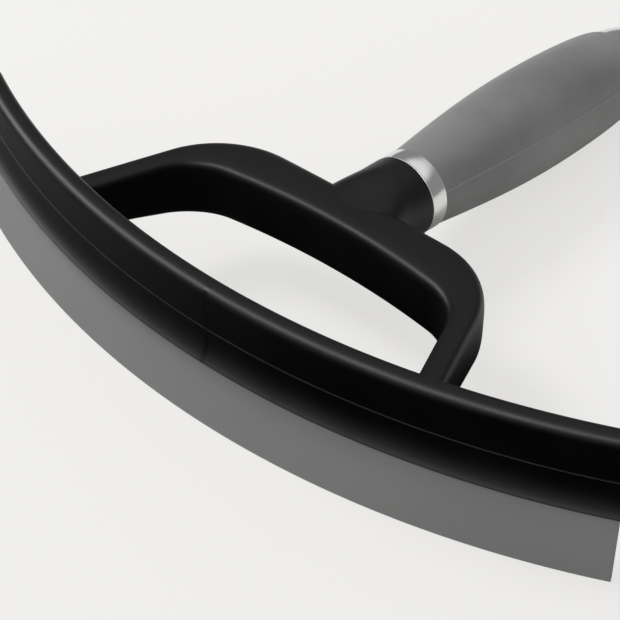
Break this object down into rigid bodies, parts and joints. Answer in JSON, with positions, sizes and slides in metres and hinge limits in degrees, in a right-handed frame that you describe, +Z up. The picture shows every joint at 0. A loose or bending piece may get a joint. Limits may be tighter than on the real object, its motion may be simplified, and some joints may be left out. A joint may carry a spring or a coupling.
{
  "type": "horse sweat scraper",
  "caption": "Hand tool with a curved bar and soft rubber lip on a D-shaped yoke and grip, drawn over a wet horse's coat to strip off water and sweat.",
  "frame": {"origin": "middle of the lip's lower edge, on the surface that the tool lies on", "axes": "+Y towards the handle, +Z up when the tool lies on its lip and its grip, +X to the right seen from behind the lip's middle, looking along +Y"},
  "size_m": [0.2484, 0.2203, 0.0455],
  "materials": {
    "black_plastic": "satin black moulded plastic",
    "grey_rubber": "smooth matt grey rubber",
    "chrome_plate": "bright plated plastic",
    "core_plastic": "plain moulded plastic",
    "soft_grip": "fine matt grey soft-touch rubber"
  },
  "bodies": {
    "root": {"head_bar": "black_plastic", "lip": "grey_rubber", "yoke": "black_plastic", "ferrule": "chrome_plate", "handle_core": "core_plastic", "grip_sleeve": "soft_grip", "end_cap": "chrome_plate"}
  },
  "joints": []
}
